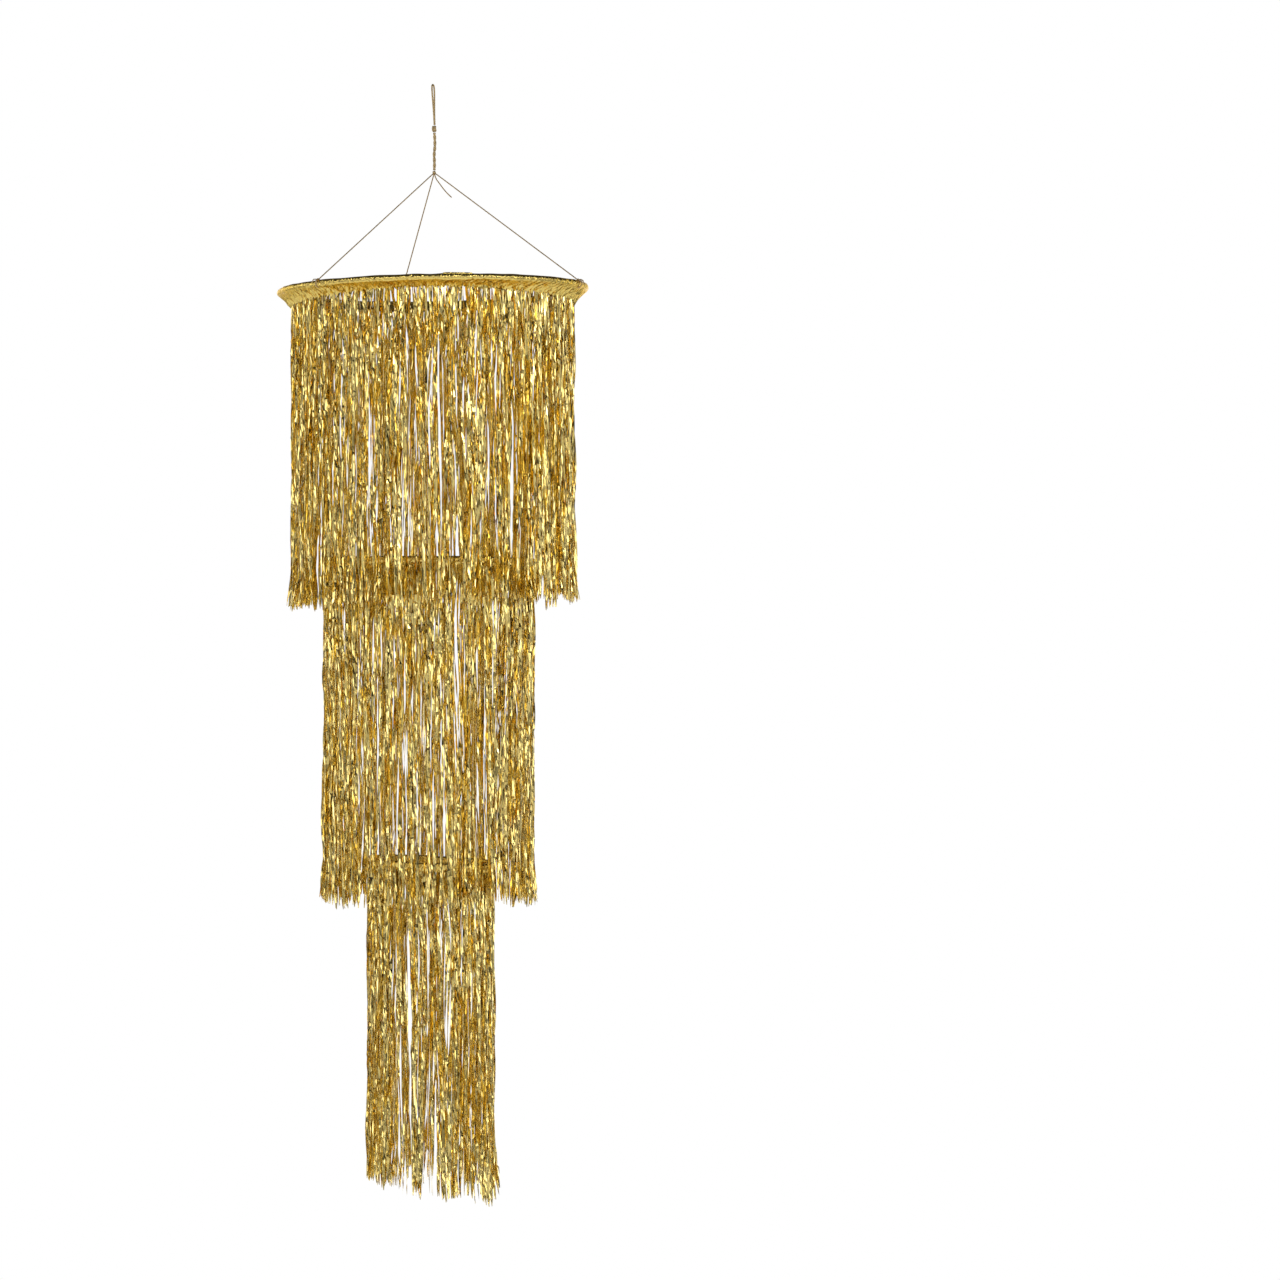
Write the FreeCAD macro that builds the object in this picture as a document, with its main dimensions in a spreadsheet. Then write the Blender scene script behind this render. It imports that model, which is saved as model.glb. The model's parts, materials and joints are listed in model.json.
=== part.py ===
import FreeCAD, Part
import math
import os
import re

import Sketcher

# A hanging chandelier of cut foil fringe in three tiers, each narrower than the one above.
# Each tier is a wire hoop inside a folded foil header, from which two plies of fringe hang.
# The tiers hang from one another on three cords each, and the top one hangs from a knotted
# cord with a loop for a ceiling hook.
# Millimetres. The origin is the inside top of the loop, where the hook carries it. +Z is up,
# +X is to the right of someone who faces the front, and -Y is the front.

doc = FreeCAD.newDocument("FringeChandelier")

# ---------------------------------------------------------------------------------------------
# Driving dimensions
# ---------------------------------------------------------------------------------------------

SIZES = {
    # The hanging cord
    "cord_diameter": (1.3, "cord of the loop"),
    "loop_depth": (47.4, "inside top of the loop down to the middle of its knot"),
    "loop_turn": (72, "degrees from the front that the loop's flat is turned"),
    "loop_knot_width": (5.6, "knot under the loop, across"),
    "loop_knot_height": (7.2, "knot under the loop, upright"),
    "stem_diameter": (2.6, "two cords twisted together"),
    "stem_length": (51, "middle of the loop knot down to the middle of the gathering knot"),
    "gathering_knot_diameter": (4.2, "knot where the three suspension cords meet"),
    "crown_height": (122.6, "middle of the gathering knot down to the top of the top rim"),
    "thin_cord_diameter": (1.1, "suspension cords, link cords, ties and tail"),
    "first_cord_angle": (-17, "degrees from +X to the first of the three cords"),
    "tie_knot_diameter": (3.2, "knot of a tie, and of a link cord"),
    # Foil and wire, the same in every tier
    "wire_diameter": (2.4, "steel wire of a hoop"),
    "wire_clearance": (0.3, "between the wire and the foil rolled round it"),
    "film_wall": (0.5, "thickness that stands for one ply of foil"),
    "ply_gap": (0.6, "between the outer and the inner ply"),
    # Top tier
    "top_rim_radius": (168, "outermost edge of the rolled rim"),
    "top_fringe_radius": (156, "outside of the fringe"),
    "top_roll_diameter": (5, "rolled rim, across its section"),
    "top_header_height": (13, "top of the rim down to the seal line, where the strips start"),
    "top_drop": (347, "top of the rim down to the hem"),
    # Middle tier
    "middle_rim_radius": (115, "outermost edge of the rolled rim"),
    "middle_fringe_radius": (115, "outside of the fringe"),
    "middle_roll_diameter": (4.4, "rolled rim, across its section"),
    "middle_header_height": (9, "top of the rim down to the seal line"),
    "middle_drop": (381, "top of the rim down to the hem"),
    "middle_spacing": (293, "top rim down to the middle rim"),
    # Bottom tier
    "bottom_rim_radius": (70.5, "outermost edge of the rolled rim"),
    "bottom_fringe_radius": (70.5, "outside of the fringe"),
    "bottom_roll_diameter": (4.4, "rolled rim, across its section"),
    "bottom_header_height": (9, "top of the rim down to the seal line"),
    "bottom_drop": (378, "top of the rim down to the hem"),
    "bottom_spacing": (327, "middle rim down to the bottom rim"),
    # How pieces meet
    "joint_gap": (0.3, "between pieces that move against each other"),
    "cord_seat": (0.3, "how far a cord's end goes into the knot that holds it"),
}

sheet = doc.addObject("Spreadsheet::Sheet", "Sizes")
for row, (alias, (number, meaning)) in enumerate(SIZES.items(), 1):
    sheet.set(f"A{row}", meaning)
    sheet.set(f"B{row}", str(number))
    sheet.setAlias(f"B{row}", alias)
doc.recompute()


def size(alias):
    """A driving dimension as a number."""
    return float(sheet.get(alias))


def formula(text):
    """Turns each word with an underscore into the sheet's cell of that name."""
    return re.sub(r"[a-z]+(?:_[a-z]+)+", lambda word: "Sizes." + word.group(), text)


def bind(target, formulas):
    """Ties properties or constraints of an object to formulas of the driving dimensions."""
    for name, text in formulas.items():
        target.setExpression(name, formula(text))


# What a sketch is drawn with before its formulas give the real lengths
STARTING_LENGTH = 1.0
STARTING_PLACE = 10.0

# Axes of an object that has been turned to its own angle about Z
RADIAL = "1; 0; 0"
TANGENT = "0; 1; 0"
UPRIGHT = "0; 0; 1"


def place(target, radius, height, angle="0", turns=()):
    """Puts an object's own origin at a radius, height and angle about Z. Its own turns come first,
    each an axis and an angle."""
    rotation = f"rotation(vector(0; 0; 1); {angle})"
    for axis, turn in turns:
        rotation += f" * rotation(vector({axis}); {turn})"
    origin = f"vector(({radius}) * cos({angle}); ({radius}) * sin({angle}); {height})"
    bind(target, {"Placement": f"placement({origin}; {rotation})"})


# Heights, as formulas of the driving dimensions
LOOP_KNOT_Z = "-(loop_depth)"
GATHERING_Z = "-(loop_depth + stem_length)"
RIM_Z = {"top": "-(loop_depth + stem_length + crown_height)"}
RIM_Z["middle"] = f"({RIM_Z['top']} - middle_spacing)"
RIM_Z["bottom"] = f"({RIM_Z['middle']} - bottom_spacing)"

TIERS = ("top", "middle", "bottom")
# The three cords of each stage hang a third of a turn apart, one above the other.
CORDS = {
    "front_right": "(first_cord_angle)",
    "back": "(first_cord_angle + 120)",
    "front_left": "(first_cord_angle + 240)",
}

# ---------------------------------------------------------------------------------------------
# Sketches
# ---------------------------------------------------------------------------------------------


def new_body(label):
    body = doc.addObject("PartDesign::Body", label)
    body.Label = label
    return body


def new_sketch(body, plane, name):
    """An empty sketch on one of a body's own origin planes."""
    sketch = body.newObject("Sketcher::SketchObject", name)
    face = next(f for f in body.Origin.OriginFeatures if f.Role == plane)
    sketch.AttachmentSupport = [(face, "")]
    sketch.MapMode = "FlatFace"
    return sketch


def fix(sketch, kind, where, name, text):
    """Adds a named constraint and ties it to a formula."""
    index = sketch.addConstraint(Sketcher.Constraint(kind, *where, STARTING_LENGTH))
    sketch.renameConstraint(index, name)
    bind(sketch, {f"Constraints.{name}": text})


def add_circle(sketch, centre, radius, name):
    """A circle in a sketch, with its centre and radius given as formulas."""
    place_first = FreeCAD.Vector(STARTING_PLACE, 0, 0)
    drawn = Part.Circle(place_first, FreeCAD.Vector(0, 0, 1), STARTING_LENGTH)
    circle = sketch.addGeometry(drawn)
    middle = (circle, 3)
    if centre is None:
        sketch.addConstraint(Sketcher.Constraint("Coincident", *middle, -1, 1))
    else:
        fix(sketch, "DistanceX", middle, f"{name}_x", centre[0])
        fix(sketch, "DistanceY", middle, f"{name}_y", centre[1])
    fix(sketch, "Radius", (circle,), f"{name}_radius", radius)


def revolve(body, sketch, kind, name):
    """Turns a sketch a full circle about the body's Z axis."""
    feature = body.newObject(kind, name)
    feature.Profile = sketch
    feature.ReferenceAxis = (sketch, ["V_Axis"])
    feature.Angle = 360
    sketch.Visibility = False
    doc.recompute()
    return feature


# ---------------------------------------------------------------------------------------------
# Tiers: hoop, header and two plies of fringe
# ---------------------------------------------------------------------------------------------


def roll_centre(tier):
    """The middle of the rolled rim's section, as formulas of radius and height."""
    return (
        f"{tier}_rim_radius - {tier}_roll_diameter / 2",
        f"{RIM_Z[tier]} - {tier}_roll_diameter / 2",
    )


def seal_inside(tier):
    """The inner edge of the seal line, where both plies leave the header."""
    return (
        f"{tier}_fringe_radius - 2 * film_wall - ply_gap",
        f"{RIM_Z[tier]} - {tier}_header_height",
    )


def hoop(tier):
    """A ring of round steel wire, which keeps the tier open."""
    ring = doc.addObject("Part::Torus", f"{tier}_hoop")
    radius, height = roll_centre(tier)
    bind(ring, {"Radius1": radius, "Radius2": "wire_diameter / 2"})
    place(ring, "0", height)
    return ring


# How far below its middle each side of the rolled rim is first drawn, in degrees
ROLL_STARTS_BELOW = 30


def header(tier):
    """Foil folded over the hoop and sealed below it: a drop-shaped section turned about Z."""
    body = new_body(f"{tier}_header")
    section = new_sketch(body, "XZ_Plane", f"{tier}_header_section")
    radius, height = roll_centre(tier)
    inside, seal_z = seal_inside(tier)

    # Starting shapes near the final ones, so that the solver keeps this arrangement
    roll = size(f"{tier}_roll_diameter") / 2
    middle = FreeCAD.Vector(size(f"{tier}_rim_radius") - roll, -roll, 0)
    outer = FreeCAD.Vector(size(f"{tier}_fringe_radius"), -size(f"{tier}_header_height"), 0)
    inner = outer - FreeCAD.Vector(2 * size("film_wall") + size("ply_gap"), 0, 0)
    for corner in (middle, outer, inner):
        corner.y -= size("loop_depth") + size("stem_length") + size("crown_height")
        corner.y -= size("middle_spacing") if tier != "top" else 0
        corner.y -= size("bottom_spacing") if tier == "bottom" else 0
    below = math.radians(ROLL_STARTS_BELOW)
    circle = Part.Circle(middle, FreeCAD.Vector(0, 0, 1), roll)
    over = section.addGeometry(Part.ArcOfCircle(circle, -below, math.pi + below))
    right = middle + FreeCAD.Vector(roll * math.cos(below), -roll * math.sin(below), 0)
    left = middle + FreeCAD.Vector(-roll * math.cos(below), -roll * math.sin(below), 0)
    inside_line = section.addGeometry(Part.LineSegment(left, inner))
    seal_line = section.addGeometry(Part.LineSegment(inner, outer))
    outside_line = section.addGeometry(Part.LineSegment(outer, right))

    start, end, centre = 1, 2, 3
    for joint in (
        ("Coincident", inside_line, end, seal_line, start),
        ("Coincident", seal_line, end, outside_line, start),
        ("Tangent", over, end, inside_line, start),
        ("Tangent", outside_line, end, over, start),
        ("Horizontal", seal_line),
    ):
        section.addConstraint(Sketcher.Constraint(*joint))
    fix(section, "Radius", (over,), "roll_radius", f"{tier}_roll_diameter / 2")
    fix(section, "DistanceX", (over, centre), "roll_x", radius)
    fix(section, "DistanceY", (over, centre), "roll_y", height)
    fix(section, "DistanceX", (seal_line, start), "seal_inside_x", inside)
    fix(section, "DistanceX", (seal_line, end), "seal_outside_x", f"{tier}_fringe_radius")
    fix(section, "DistanceY", (seal_line, end), "seal_y", seal_z)
    folded = revolve(body, section, "PartDesign::Revolution", f"{tier}_folded_foil")
    full = folded.Shape.Volume

    channel = new_sketch(body, "XZ_Plane", f"{tier}_channel_section")
    add_circle(channel, (radius, height), "wire_diameter / 2 + wire_clearance", "channel")
    hollow = revolve(body, channel, "PartDesign::Groove", f"{tier}_wire_channel")
    assert hollow.Shape.Volume < full, f"the wire channel of the {tier} header cuts nothing"
    return body


def fringe(tier, ply):
    """One ply of fringe as a thin tube: the strips hang side by side all the way round."""
    body = new_body(f"{tier}_fringe_{ply}")
    ring = new_sketch(body, "XY_Plane", f"{tier}_fringe_{ply}_ring")
    inset = "0" if ply == "outer" else "(film_wall + ply_gap)"
    add_circle(ring, None, f"{tier}_fringe_radius - {inset}", "outside")
    add_circle(ring, None, f"{tier}_fringe_radius - {inset} - film_wall", "inside")
    drop = body.newObject("PartDesign::Pad", f"{tier}_fringe_{ply}_drop")
    drop.Profile = ring
    bind(drop, {"Length": f"{tier}_drop - {tier}_header_height"})
    place(body, "0", f"{RIM_Z[tier]} - {tier}_drop")
    ring.Visibility = False
    doc.recompute()
    return body


# ---------------------------------------------------------------------------------------------
# Knots and ties
# ---------------------------------------------------------------------------------------------


def round_knot(label, across, upright, radius, height, angle="0", turns=()):
    """A tightened knot as a rounded lump."""
    knot = doc.addObject("Part::Ellipsoid", label)
    bind(knot, {"Radius1": f"{upright} / 2", "Radius2": f"{across} / 2", "Radius3": f"{across} / 2"})
    knot.Angle1 = -90
    knot.Angle2 = 90
    knot.Angle3 = 360
    place(knot, radius, height, angle, turns)
    return knot


def tie_knot_centre(tier):
    """The middle of the knot that sits on top of a rim, on the ring of cord round it."""
    radius, height = roll_centre(tier)
    return radius, f"{height} + {tier}_roll_diameter / 2 + thin_cord_diameter / 2"


# The knot's own seam is turned this far away from the ring of cord that it is joined to.
KNOT_SEAM_TURN = "35"


def rim_tie(tier, side, label):
    """A cord passed once round the rolled rim, through the foil under it, and knotted on top."""
    radius, height = roll_centre(tier)
    turn = doc.addObject("Part::Torus", f"{label}_turn")
    around = f"{tier}_roll_diameter / 2 + thin_cord_diameter / 2"
    bind(turn, {"Radius1": around, "Radius2": "thin_cord_diameter / 2"})
    # A torus lies flat, so a quarter turn about the radius stands it up across the rim.
    place(turn, radius, height, CORDS[side], [(RADIAL, "90")])
    knot_radius, knot_z = tie_knot_centre(tier)
    knot = round_knot(
        f"{label}_knot",
        "tie_knot_diameter",
        "tie_knot_diameter",
        knot_radius,
        knot_z,
        CORDS[side],
        [(TANGENT, "90"), (UPRIGHT, KNOT_SEAM_TURN)],
    )
    tie = doc.addObject("Part::MultiFuse", label)
    tie.Shapes = [turn, knot]
    return tie


def link_knot_centre(tier):
    """The middle of a knot pulled up against the inner edge of the seal line."""
    inside, seal_z = seal_inside(tier)
    return f"{inside} - (tie_knot_diameter / 2 - cord_seat)", seal_z


def link_knot(tier, side, label):
    """The stopper knot of a link cord, which is threaded through the header's seal line."""
    radius, height = link_knot_centre(tier)
    return round_knot(label, "tie_knot_diameter", "tie_knot_diameter", radius, height, CORDS[side])


# ---------------------------------------------------------------------------------------------
# Cords
# ---------------------------------------------------------------------------------------------


def taut_cord(label, side, start, end, start_trim, end_trim):
    """A straight cord pulled tight between two knots, trimmed back from their centres."""
    across = f"(({end[0]}) - ({start[0]}))"
    down = f"(({end[1]}) - ({start[1]}))"
    whole = f"sqrt({across} ^ 2 + {down} ^ 2)"
    cord = doc.addObject("Part::Cylinder", label)
    bind(
        cord,
        {
            "Radius": "thin_cord_diameter / 2",
            "Height": f"{whole} - ({start_trim}) - ({end_trim})",
        },
    )
    place(
        cord,
        f"({start[0]}) + ({start_trim}) * {across} / {whole}",
        f"({start[1]}) + ({start_trim}) * {down} / {whole}",
        CORDS[side],
        [(TANGENT, f"atan2({across}; {down})")],
    )
    return cord


# The share of the shorter run beside a point that its arc takes up
ARC_SHARE = 0.45


def rounded_route(route, diameter, label):
    """A wire through a cord's points: straight runs, and at each point the largest arc they allow."""
    points = [FreeCAD.Vector(*p) for p in route]
    edges = []
    reached = points[0]
    radii = []
    for before, corner, after in zip(points, points[1:], points[2:]):
        back = (before - corner).normalize()
        ahead = (after - corner).normalize()
        shorter = min((before - corner).Length, (after - corner).Length)
        trim = ARC_SHARE * shorter
        half_turn = (math.pi - back.getAngle(ahead)) / 2
        radius = trim / math.tan(half_turn)
        radii.append(radius)
        first = corner + back * trim
        last = corner + ahead * trim
        bisector = (back + ahead).normalize()
        centre = corner + bisector * math.hypot(radius, trim)
        middle = centre - bisector * radius
        edges.append(Part.LineSegment(reached, first).toShape())
        edges.append(Part.Arc(first, middle, last).toShape())
        reached = last
    edges.append(Part.LineSegment(reached, points[-1]).toShape())
    tightest = min(radii) / diameter
    wire = Part.Wire(edges)
    print(f"{label}: {wire.Length:.1f} mm long, tightest bend {tightest:.1f} diameters")
    return wire


def cord_tube(label, route, diameter):
    """A round cord along a route of hand-chosen points."""
    wire = rounded_route(route, diameter, label)
    away = FreeCAD.Vector(*route[1]) - FreeCAD.Vector(*route[0])
    circle = Part.Circle(FreeCAD.Vector(*route[0]), away, diameter / 2)
    profile = Part.Wire(circle.toShape())
    tube = wire.makePipeShell([profile], True, True)
    expected = math.pi * (diameter / 2) ** 2 * wire.Length
    assert abs(tube.Volume - expected) < 0.01 * expected, f"{label} has the wrong volume"
    cord = doc.addObject("Part::Feature", label)
    cord.Shape = tube
    return cord


# The loop's points in its own flat: across from the middle, and up from the inside top. It
# narrows to the two cords that go side by side into the knot.
LOOP_SIDE = [(0.8, -36.4), (1.5, -27), (2.9, -15.6), (4.1, -6), (3.1, 0.65)]


def hanging_loop():
    """The loop over the ceiling hook: one cord up from the knot, over the hook and down again."""
    knot_top = -(size("loop_depth") - size("loop_knot_height") / 2 - size("joint_gap"))
    side = [(0.75, knot_top)] + LOOP_SIDE
    turn = math.radians(size("loop_turn"))
    flat = side + [(-across, up) for across, up in reversed(side)]
    route = [(across * math.cos(turn), across * math.sin(turn), up) for across, up in flat]
    return cord_tube("hanging_loop", route, size("cord_diameter"))


# The cut end left over from the gathering knot: down from between two suspension cords, then out
# to the right. Its points are measured from the middle of the knot.
TAIL = [
    (1.4, -2.8, -6.4),
    (5.8, -4.0, -12.2),
    (10.4, -4.8, -18.6),
    (14.9, -5.2, -23.8),
    (19.2, -5.4, -27.6),
]


def cord_tail():
    """The short free end of cord that sticks out of the gathering knot."""
    knot_z = -(size("loop_depth") + size("stem_length"))
    way = FreeCAD.Vector(*TAIL[0]).normalize()
    start = way * (size("gathering_knot_diameter") / 2 - size("cord_seat"))
    route = [(p[0], p[1], p[2] + knot_z) for p in [start, *TAIL]]
    return cord_tube("cord_tail", route, size("thin_cord_diameter"))


def twisted_stem():
    """Two cords twisted together between the knots, as one solid of their outer diameter."""
    stem = doc.addObject("Part::Cylinder", "twisted_stem")
    top_trim = "(loop_knot_height / 2 + joint_gap)"
    low_trim = "(gathering_knot_diameter / 2 + joint_gap)"
    bind(stem, {"Radius": "stem_diameter / 2", "Height": f"stem_length - {top_trim} - {low_trim}"})
    place(stem, "0", f"{GATHERING_Z} + {low_trim}")
    return stem


# ---------------------------------------------------------------------------------------------
# The whole chandelier
# ---------------------------------------------------------------------------------------------

pieces = [
    hanging_loop(),
    round_knot("loop_knot", "loop_knot_width", "loop_knot_height", "0", LOOP_KNOT_Z),
    twisted_stem(),
    round_knot(
        "gathering_knot", "gathering_knot_diameter", "gathering_knot_diameter", "0", GATHERING_Z
    ),
    cord_tail(),
]

for tier in TIERS:
    pieces += [hoop(tier), header(tier), fringe(tier, "outer"), fringe(tier, "inner")]

for side in CORDS:
    pieces.append(rim_tie("top", side, f"suspension_tie_{side}"))
    pieces.append(
        taut_cord(
            f"suspension_cord_{side}",
            side,
            ("0", GATHERING_Z),
            tie_knot_centre("top"),
            "gathering_knot_diameter / 2 - cord_seat",
            "tie_knot_diameter / 2 + joint_gap",
        )
    )

for upper, lower in (("top", "middle"), ("middle", "bottom")):
    for side in CORDS:
        pieces.append(link_knot(upper, side, f"{lower}_link_knot_{side}"))
        pieces.append(rim_tie(lower, side, f"{lower}_tie_{side}"))
        pieces.append(
            taut_cord(
                f"{lower}_link_cord_{side}",
                side,
                link_knot_centre(upper),
                tie_knot_centre(lower),
                "tie_knot_diameter / 2 - cord_seat",
                "tie_knot_diameter / 2 + joint_gap",
            )
        )

doc.recompute()

# ---------------------------------------------------------------------------------------------
# Checks and files
# ---------------------------------------------------------------------------------------------

for item in doc.Objects:
    assert not {"Invalid", "Error"} & set(item.State), f"{item.Label} failed: {item.State}"

for piece in pieces:
    shape = piece.Shape
    assert not shape.isNull() and shape.isValid() and shape.Solids, f"{piece.Label} isn't sound"

os.makedirs("parts", exist_ok=True)
for piece in pieces:
    piece.Shape.exportStep(f"parts/{piece.Label}.step")
print(f"{len(pieces)} sub-parts written")
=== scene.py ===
# %% [markdown]
# # A gold foil-fringe chandelier
# The real thing is party stock: three wire hoops, each rolled into the top of a band of gold foil
# that is cut into hundreds of narrow strips. Gold cords hang the hoops one below the other.
# The model that moves is already there as plain solids. This lesson covers each of them with a
# piece that has the real make-up: laid cords, tied knots, creased foil and single crinkled strips.

# %% Load the fixed frame
import json
import math

import bpy
import numpy as np
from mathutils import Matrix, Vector

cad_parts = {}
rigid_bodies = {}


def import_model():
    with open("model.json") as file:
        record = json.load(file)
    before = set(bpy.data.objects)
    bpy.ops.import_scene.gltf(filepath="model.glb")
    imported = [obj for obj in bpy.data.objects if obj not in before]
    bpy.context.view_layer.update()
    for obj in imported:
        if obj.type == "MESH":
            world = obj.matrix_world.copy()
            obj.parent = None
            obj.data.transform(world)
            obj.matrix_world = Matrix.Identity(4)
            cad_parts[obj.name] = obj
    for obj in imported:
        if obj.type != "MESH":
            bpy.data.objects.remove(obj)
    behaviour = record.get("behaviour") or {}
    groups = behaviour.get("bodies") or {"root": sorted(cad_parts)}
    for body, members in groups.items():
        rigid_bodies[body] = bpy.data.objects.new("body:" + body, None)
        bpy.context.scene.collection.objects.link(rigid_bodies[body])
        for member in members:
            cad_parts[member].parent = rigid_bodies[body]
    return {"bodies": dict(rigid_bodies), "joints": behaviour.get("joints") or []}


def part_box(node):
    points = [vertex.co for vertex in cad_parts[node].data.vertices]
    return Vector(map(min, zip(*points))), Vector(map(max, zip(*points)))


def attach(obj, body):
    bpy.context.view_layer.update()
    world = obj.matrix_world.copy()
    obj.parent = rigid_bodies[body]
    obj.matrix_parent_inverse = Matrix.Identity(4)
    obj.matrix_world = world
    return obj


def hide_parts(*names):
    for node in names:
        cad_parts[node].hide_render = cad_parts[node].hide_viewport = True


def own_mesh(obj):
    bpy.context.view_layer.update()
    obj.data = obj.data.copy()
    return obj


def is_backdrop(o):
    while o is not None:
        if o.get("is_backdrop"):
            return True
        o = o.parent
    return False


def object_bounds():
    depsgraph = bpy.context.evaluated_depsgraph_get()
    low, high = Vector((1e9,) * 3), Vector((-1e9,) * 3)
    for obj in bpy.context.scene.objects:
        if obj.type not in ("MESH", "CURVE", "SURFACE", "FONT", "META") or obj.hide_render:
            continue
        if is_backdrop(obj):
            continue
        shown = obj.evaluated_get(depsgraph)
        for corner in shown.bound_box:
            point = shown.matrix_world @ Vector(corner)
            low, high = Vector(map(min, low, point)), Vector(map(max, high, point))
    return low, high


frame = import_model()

cad_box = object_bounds()
MM = 0.001
scene = bpy.context.scene
print("bodies:", ", ".join(frame["bodies"]))

# %% [markdown]
# ## Sizes
# Places come from the solids, so a change there carries over. A tier is known from four of them:
# the hoop gives the wire and the middle of the rolled rim, the header gives the rim's edge and
# how high the roll stands, and the two plies of fringe give their radii, the seal line and the
# hem. A real tier is less true than a solid. It hangs a little slanted and off centre, its foil
# puffs out round the wire, and its fringe draws in.

# %% Read the tiers' sizes
TIERS = ("top", "middle", "bottom")
PUFFED = {"top": 1.0 * MM, "middle": 0.3 * MM, "bottom": 0.3 * MM}
DRAWN_IN = {"top": 3.8 * MM, "middle": 1.8 * MM, "bottom": 2.8 * MM}
# How much each tier rises for each metre towards +X, and how far it is shifted that way
HANGS_AT = {"top": (0.022, -1.2 * MM), "middle": (-0.004, -6.0 * MM), "bottom": (-0.05, -4.0 * MM)}


class Tier:
    """The sizes of one hoop with its header and fringe, in metres."""

    def __init__(self, name):
        self.name = name
        hoop_low, hoop_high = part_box(f"{name}_hoop")
        header_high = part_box(f"{name}_header")[1]
        fringe_low, fringe_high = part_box(f"{name}_fringe_outer")
        self.wire = (hoop_high.z - hoop_low.z) / 2
        self.ring = hoop_high.x - self.wire
        self.ring_z = (hoop_low.z + hoop_high.z) / 2
        self.rim = header_high.x
        self.roll = header_high.z - self.ring_z + PUFFED[name]
        self.seal_z = fringe_high.z
        self.hem_z = fringe_low.z
        self.outer = fringe_high.x
        self.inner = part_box(f"{name}_fringe_inner")[1].x
        self.drawn_in = DRAWN_IN[name]
        self.slope, self.shift = HANGS_AT[name]

    def hang(self, points):
        """Moves points of a level tier to where it really hangs: a little slanted and off centre."""
        points = np.array(points, float)
        points[..., 2] += self.slope * points[..., 0]
        points[..., 0] += self.shift
        return points


tiers = {name: Tier(name) for name in TIERS}
for tier in tiers.values():
    print(f"{tier.name}: rim {tier.rim / MM:.1f} mm, seal at {tier.seal_z / MM:.1f} mm")

# %% [markdown]
# ## Camera
# The camera looks level at the middle of the drop from a little over four metres, so the hoops
# are nearly edge-on. A long lens keeps the tiers from growing towards the edges. It stands to the
# right of the chandelier, which leaves room beside it for a second one.

# %% Place the camera
CAMERA_AT = (0.2235, -4.25, -0.6027)
LENS = 110
FILM_WIDTH = 36

lens = bpy.data.cameras.new("camera")
lens.lens = LENS
lens.sensor_width = FILM_WIDTH
lens.clip_end = 60
camera = bpy.data.objects.new("camera", lens)
camera.location = CAMERA_AT
camera.rotation_euler = (math.radians(90), 0, 0)
scene.collection.objects.link(camera)
scene.camera = camera
scene.view_settings.view_transform = "Standard"
print("camera is", round(-CAMERA_AT[1], 2), "m in front")

# %% [markdown]
# ## Meshes from numbers
# A strip, a cord or a header is a grid of points that a formula can place. Building the grid as an
# array and handing it to Blender in one go is thousands of times faster than adding points one by
# one. Each part also carries a map of its own length and width, for its finish to follow.

# %% Turn grids of points into one piece
LAY_MAP = "lay"
BAKE_MAP = "OFBake"


def grid_faces(rows, columns, closed):
    """Corner numbers of the faces of a grid, which may close round from the last column."""
    last = columns if closed else columns - 1
    row, column = np.meshgrid(np.arange(rows - 1), np.arange(last), indexing="ij")
    right = (column + 1) % columns
    corners = (row * columns + column, row * columns + right)
    above = ((row + 1) * columns + right, (row + 1) * columns + column)
    return np.stack(corners + above, axis=-1).reshape(-1, 4)


def add_map(mesh, name, values):
    """A map of a mesh: two numbers for each corner of each face."""
    layer = mesh.uv_layers.new(name=name)
    layer.uv.foreach_set("vector", values.astype(np.float32).ravel())


def make_piece(name, parts, bake=None):
    """One object from parts, each an array of points, an array of faces and a map per corner."""
    mesh = bpy.data.meshes.new(name)
    starts = np.cumsum([0] + [len(part[0]) for part in parts[:-1]])
    points = np.concatenate([part[0] for part in parts])
    faces = np.concatenate([part[1] + start for part, start in zip(parts, starts)])
    laid = np.concatenate([part[2] for part in parts])
    mesh.vertices.add(len(points))
    mesh.vertices.foreach_set("co", points.astype(np.float32).ravel())
    mesh.loops.add(faces.size)
    mesh.loops.foreach_set("vertex_index", faces.astype(np.int32).ravel())
    mesh.polygons.add(len(faces))
    mesh.polygons.foreach_set("loop_start", np.arange(0, faces.size, 4, dtype=np.int32))
    mesh.update(calc_edges=True)
    mesh.shade_smooth()
    add_map(mesh, LAY_MAP, laid)
    if bake is not None:
        add_map(mesh, BAKE_MAP, bake)
    mesh.validate()
    piece = bpy.data.objects.new(name, mesh)
    scene.collection.objects.link(piece)
    return piece


print("a grid of 3 by 4 points has", len(grid_faces(3, 4, closed=False)), "faces")

# %% [markdown]
# ## Cord
# The cord is laid from three metallic yarns. Two ways to model it are a round tube with a stripe
# painted on, or a tube whose section has three lobes and turns as it goes. The second gives real
# grooves that catch the light, so each cord here is swept that way along a smooth line.

# %% Read a smooth line from a cord's route
def smooth_line(route):
    """Points along the spline that a route's points pull into shape."""
    curve = bpy.data.curves.new("route", "CURVE")
    curve.dimensions = "3D"
    curve.resolution_u = 16
    spline = curve.splines.new("NURBS")
    spline.points.add(len(route) - 1)
    for target, point in zip(spline.points, route):
        target.co = (*point, 1)
    spline.order_u = 3
    spline.use_endpoint_u = True
    holder = bpy.data.objects.new("route", curve)
    scene.collection.objects.link(holder)
    bpy.context.view_layer.update()
    wire = bpy.data.meshes.new_from_object(holder)
    line = np.array([vertex.co for vertex in wire.vertices])
    bpy.data.objects.remove(holder)
    bpy.data.meshes.remove(wire)
    bpy.data.curves.remove(curve)
    return line


def run_of(line):
    """How far along a line each of its points lies."""
    return np.concatenate([[0], np.cumsum(np.linalg.norm(np.diff(line, axis=0), axis=1))])


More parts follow.
